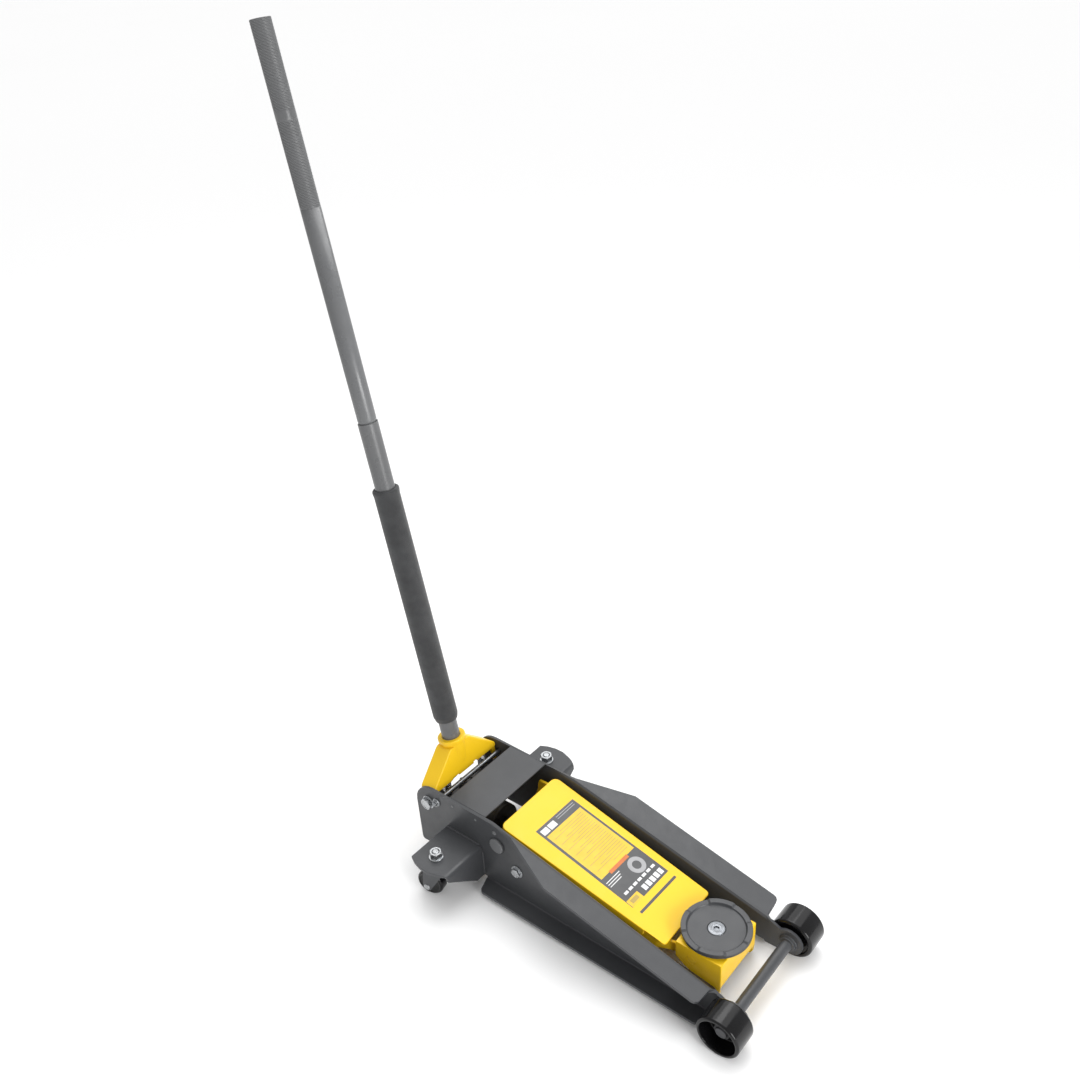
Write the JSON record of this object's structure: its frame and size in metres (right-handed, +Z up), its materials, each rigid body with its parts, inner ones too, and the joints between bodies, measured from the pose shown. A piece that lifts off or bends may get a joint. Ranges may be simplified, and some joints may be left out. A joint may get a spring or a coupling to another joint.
{
  "type": "hydraulic floor jack",
  "caption": "Low rolling floor jack: grey channel frame on wheels and casters, yellow lifting arm with a level round saddle, and a long handle that tilts to pump and twists to release",
  "frame": {"origin": "centre of the object's box, on the floor plane under the wheels", "axes": "+X towards the saddle and the front wheels, +Y to the left, +Z up; the frame is symmetric about the XZ plane"},
  "size_m": [0.912, 0.3852, 1.42],
  "materials": {
    "frame_paint": "dark grey semi-gloss paint",
    "arm_paint": "bright yellow gloss paint",
    "handle_paint": "grey semi-gloss paint, finely knurled along the grip",
    "foam": "matte charcoal closed-cell foam",
    "wheel_gloss": "gloss black enamel",
    "cast_black": "black painted casting",
    "chrome": "hard chrome, ground",
    "steel": "plain turned and rolled steel",
    "zinc": "bright zinc plating"
  },
  "bodies": {
    "chassis": {"side_plate_left": "frame_paint", "side_plate_right": "frame_paint", "rear_cover_plate": "frame_paint", "tie_rod": "zinc", "tie_rod_nut_left": "zinc", "tie_rod_nut_right": "zinc", "front_axle": "frame_paint", "wheel_retaining_ring_left": "zinc", "wheel_retaining_ring_right": "zinc", "caster_bracket_left": "frame_paint", "caster_bracket_right": "frame_paint", "caster_race_left": "zinc", "caster_race_right": "zinc", "caster_kingpin_left": "zinc", "caster_kingpin_right": "zinc", "caster_nut_left": "zinc", "caster_nut_right": "zinc", "arm_pivot_pin": "frame_paint", "arm_spacer_left": "steel", "arm_spacer_right": "steel", "link_bolt_left": "zinc", "link_bolt_right": "zinc", "yoke_bolt_left": "zinc", "yoke_bolt_right": "zinc", "pump_block": "cast_black", "oil_reservoir": "cast_black", "ram_cylinder": "steel", "cylinder_gland": "zinc", "filler_plug": "zinc", "plunger_spring": "steel"},
    "lift_arm": {"arm_top_plate": "arm_paint", "arm_cheek_left": "arm_paint", "arm_cheek_right": "arm_paint", "crank_pin": "steel", "crank_bush": "steel"},
    "saddle_carrier": {"saddle_bracket": "arm_paint", "saddle_pin": "steel", "link_front_pin": "zinc"},
    "saddle": {"saddle_plate": "frame_paint", "saddle_screw": "zinc"},
    "levelling_links": {"levelling_link_left": "steel", "levelling_link_right": "steel"},
    "ram": {"ram_rod": "chrome", "thrust_plate": "steel"},
    "plunger": {"pump_plunger": "chrome"},
    "yoke": {"handle_yoke": "arm_paint"},
    "handle": {"handle_lower_tube": "handle_paint", "handle_upper_tube": "handle_paint", "foam_sleeve": "foam", "release_drive": "zinc"},
    "valve": {"release_valve": "zinc"},
    "wheel_left": {"front_wheel_left": "wheel_gloss"},
    "caster_swivel_left": {"caster_fork_left": "frame_paint", "caster_axle_left": "zinc"},
    "caster_roller_left": {"caster_wheel_left": "wheel_gloss"},
    "wheel_right": {"front_wheel_right": "wheel_gloss"},
    "caster_swivel_right": {"caster_fork_right": "frame_paint", "caster_axle_right": "zinc"},
    "caster_roller_right": {"caster_wheel_right": "wheel_gloss"}
  },
  "joints": [
    {"name": "arm_lift", "type": "hinge", "parent": "chassis", "child": "lift_arm", "pos_m": [-0.06004, 0, 0.116], "axis": [0, -1, 0], "range_deg": [0, 70]},
    {"name": "saddle_level", "type": "hinge", "parent": "lift_arm", "child": "saddle_carrier", "pos_m": [0.31796, 0, 0.059], "axis": [0, -1, 0], "range_deg": [-70, 0]},
    {"name": "saddle_turn", "type": "hinge", "parent": "saddle_carrier", "child": "saddle", "pos_m": [0.33176, 0, 0.0915], "axis": [0, 0, 1], "continuous": true},
    {"name": "link_swing", "type": "hinge", "parent": "chassis", "child": "levelling_links", "pos_m": [-0.01804, 0, 0.077], "axis": [0, -1, 0], "range_deg": [0, 70]},
    {"name": "ram_slide", "type": "slide", "parent": "chassis", "child": "ram", "axis": [1, 0, 0], "range_m": [0, 0.0712]},
    {"name": "yoke_tilt", "type": "hinge", "parent": "chassis", "child": "yoke", "pos_m": [-0.22704, 0, 0.126], "axis": [0, -1, 0], "range_deg": [0, 65]},
    {"name": "plunger_stroke", "type": "slide", "parent": "chassis", "child": "plunger", "axis": [0, 0, -1], "range_m": [0, 0.0152], "deforming": ["plunger_spring"]},
    {"name": "handle_turn", "type": "hinge", "parent": "yoke", "child": "handle", "pos_m": [-0.22704, 0, 0.126], "axis": [-0.163, 0, 0.9866], "range_deg": [0, 180]},
    {"name": "valve_turn", "type": "hinge", "parent": "chassis", "child": "valve", "pos_m": [-0.22704, 0, 0.095], "axis": [0, 0, 1], "range_deg": [0, 180]},
    {"name": "wheel_roll_left", "type": "hinge", "parent": "chassis", "child": "wheel_left", "pos_m": [0.41796, 0.1157, 0.038], "axis": [0, 1, 0], "continuous": true},
    {"name": "caster_turn_left", "type": "hinge", "parent": "chassis", "child": "caster_swivel_left", "pos_m": [-0.14904, 0.156, 0.067], "axis": [0, 0, 1], "continuous": true},
    {"name": "caster_roll_left", "type": "hinge", "parent": "caster_swivel_left", "child": "caster_roller_left", "pos_m": [-0.16463, 0.1524, 0.026], "axis": [-0.225, 0.9744, 0], "continuous": true},
    {"name": "wheel_roll_right", "type": "hinge", "parent": "chassis", "child": "wheel_right", "pos_m": [0.41796, -0.1157, 0.038], "axis": [0, 1, 0], "continuous": true},
    {"name": "caster_turn_right", "type": "hinge", "parent": "chassis", "child": "caster_swivel_right", "pos_m": [-0.14904, -0.156, 0.067], "axis": [0, 0, 1], "continuous": true},
    {"name": "caster_roll_right", "type": "hinge", "parent": "caster_swivel_right", "child": "caster_roller_right", "pos_m": [-0.16463, -0.1596, 0.026], "axis": [-0.225, 0.9744, 0], "continuous": true}
  ],
  "couplings": [
    {"joint": "saddle_level", "follows": "arm_lift", "ratio": -1},
    {"joint": "link_swing", "follows": "arm_lift", "ratio": 1},
    {"joint": "ram_slide", "follows": "arm_lift", "m_per_rad": 0.0582},
    {"joint": "plunger_stroke", "follows": "yoke_tilt", "m_per_rad": 0.0133},
    {"joint": "valve_turn", "follows": "handle_turn", "ratio": 1}
  ]
}
